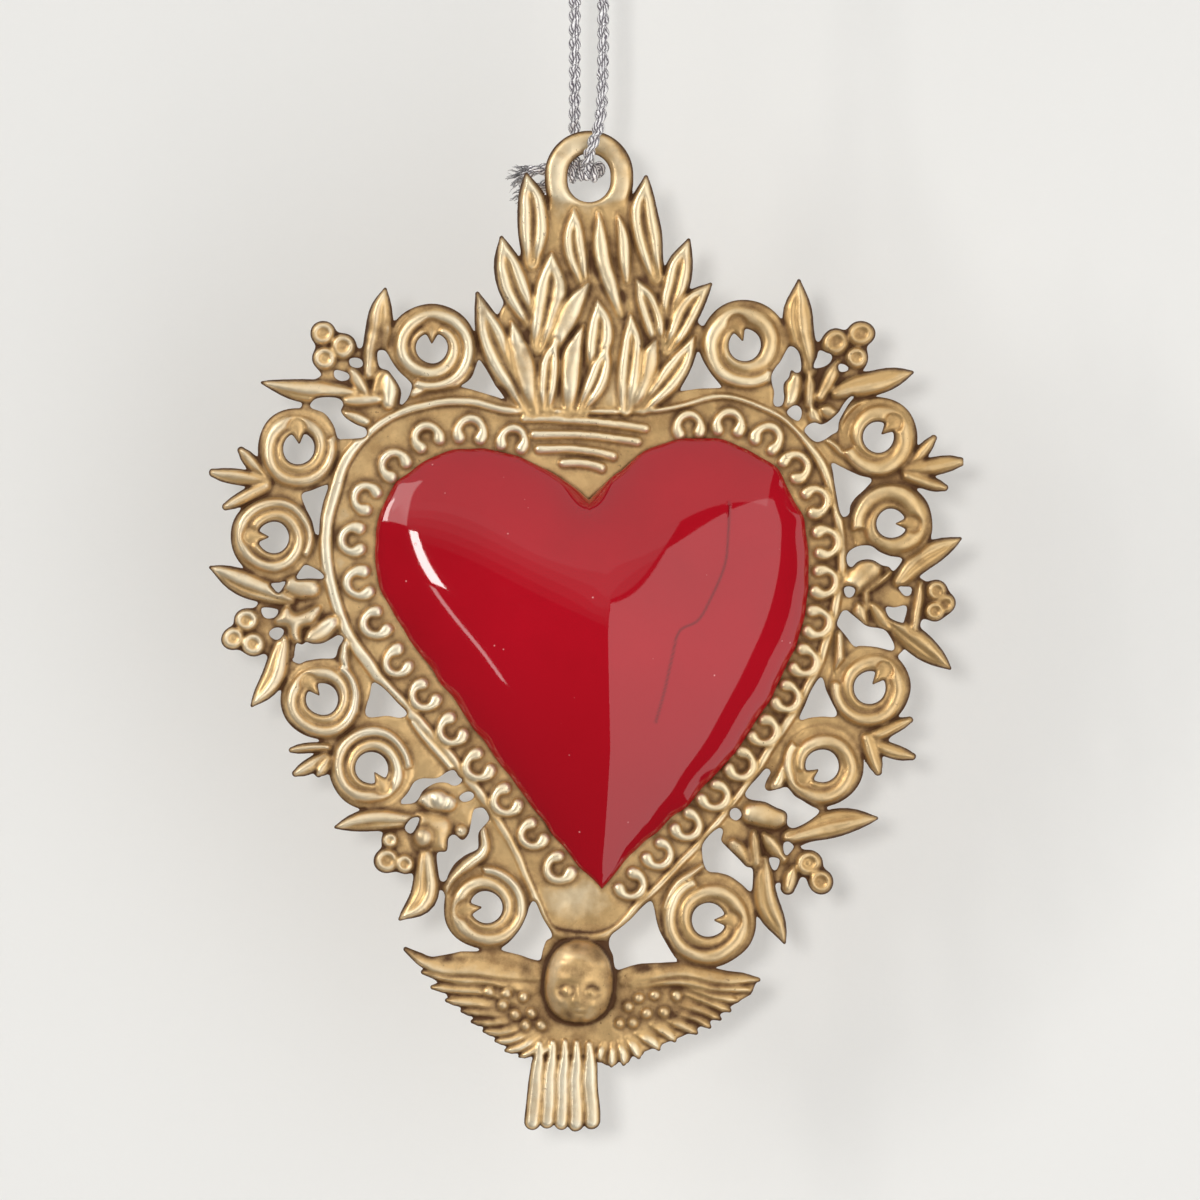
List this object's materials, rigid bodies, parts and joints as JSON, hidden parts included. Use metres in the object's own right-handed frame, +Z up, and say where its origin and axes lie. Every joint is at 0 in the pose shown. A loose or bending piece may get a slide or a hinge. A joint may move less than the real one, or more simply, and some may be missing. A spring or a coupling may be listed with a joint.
{
  "type": "sacred heart christmas ornament",
  "caption": "Embossed brass sacred heart ornament with a domed red enamel heart, flame crest, open scroll rim and winged head, hung from a twisted metallic cord loop.",
  "frame": {"origin": "where the top of the hanging loop rests on its hook, on the underside of the cord", "axes": "+Z up along the hanging ornament, the embossed front faces -Y, +X to the right as seen from the front"},
  "size_m": [0.1048, 0.014, 0.2148],
  "materials": {
    "brass_sheet": "antiqued pale gold, brown patina in the hollows, worn bright on the ridges",
    "red_enamel": "thick glossy red enamel",
    "metallic_cord": "two-ply twisted cord of silver metallic yarn"
  },
  "bodies": {
    "hanger": {"cord_loop": "metallic_cord"},
    "strands": {"cord_strand_left": "metallic_cord", "cord_strand_right": "metallic_cord", "cord_knot": "metallic_cord", "frayed_end_upper": "metallic_cord", "frayed_end_lower": "metallic_cord"},
    "plate": {"stamped_plate": "brass_sheet", "heart_enamel": "red_enamel"}
  },
  "joints": [
    {"name": "cord_twist", "type": "hinge", "parent": "hanger", "child": "strands", "pos_m": [0, 0, -0.0282], "axis": [0, 0, 1], "range_deg": [-170, 170]},
    {"name": "plate_nod", "type": "hinge", "parent": "strands", "child": "plate", "pos_m": [0, -0.001, -0.0754], "axis": [1, 0, 0], "range_deg": [-18, 8]}
  ]
}
